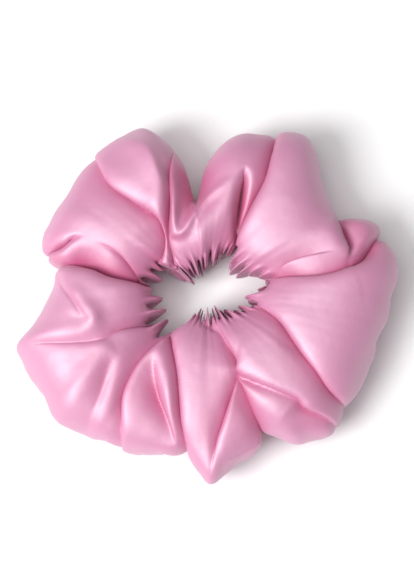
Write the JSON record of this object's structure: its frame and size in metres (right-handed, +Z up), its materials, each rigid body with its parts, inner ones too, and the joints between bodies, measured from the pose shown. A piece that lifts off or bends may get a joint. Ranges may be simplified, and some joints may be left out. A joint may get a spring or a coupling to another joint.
{
  "type": "hair scrunchie",
  "caption": "Gathered satin scrunchie: a puffed fabric ring round a hidden flat elastic, which opens to take a ponytail or bun.",
  "frame": {"origin": "middle of the outline, on the surface that the scrunchie lies on", "axes": "+Z up through the hair hole, +X to the right along the longest side, +Y to the back"},
  "size_m": [0.1088, 0.1037, 0.028],
  "materials": {
    "satin": "satin",
    "elastic": "matte",
    "thread": "satin"
  },
  "bodies": {
    "left_end": {"puff_07": "satin", "puff_08": "satin", "elastic_band": "elastic", "elastic_join_stitches": "thread", "side_seam_thread": "thread", "closing_seam_thread": "thread"},
    "left_shoulder": {"puff_06": "satin", "puff_09": "satin"},
    "left_middle": {"puff_05": "satin", "puff_10": "satin"},
    "middle": {"puff_04": "satin", "puff_11": "satin"},
    "right_middle": {"puff_12": "satin", "puff_13": "satin"},
    "right_shoulder": {"puff_03": "satin", "puff_14": "satin"},
    "right_end": {"puff_01": "satin", "puff_02": "satin"}
  },
  "joints": [
    {"name": "stretch", "type": "slide", "parent": "left_end", "child": "right_end", "axis": [1, 0, 0], "range_m": [0, 0.09], "stiffness_N_per_m": 60, "deforming": ["elastic_band", "side_seam_thread"]},
    {"name": "left_shoulder_slide", "type": "slide", "parent": "left_end", "child": "left_shoulder", "axis": [1, 0, 0], "range_m": [0, 0.0108]},
    {"name": "left_middle_slide", "type": "slide", "parent": "left_end", "child": "left_middle", "axis": [1, 0, 0], "range_m": [0, 0.0261]},
    {"name": "middle_slide", "type": "slide", "parent": "left_end", "child": "middle", "axis": [1, 0, 0], "range_m": [0, 0.0468]},
    {"name": "right_middle_slide", "type": "slide", "parent": "left_end", "child": "right_middle", "axis": [1, 0, 0], "range_m": [0, 0.063]},
    {"name": "right_shoulder_slide", "type": "slide", "parent": "left_end", "child": "right_shoulder", "axis": [1, 0, 0], "range_m": [0, 0.0765]}
  ],
  "couplings": [
    {"joint": "left_shoulder_slide", "follows": "stretch", "ratio": 0.12},
    {"joint": "left_middle_slide", "follows": "stretch", "ratio": 0.29},
    {"joint": "middle_slide", "follows": "stretch", "ratio": 0.52},
    {"joint": "right_middle_slide", "follows": "stretch", "ratio": 0.7},
    {"joint": "right_shoulder_slide", "follows": "stretch", "ratio": 0.85}
  ]
}
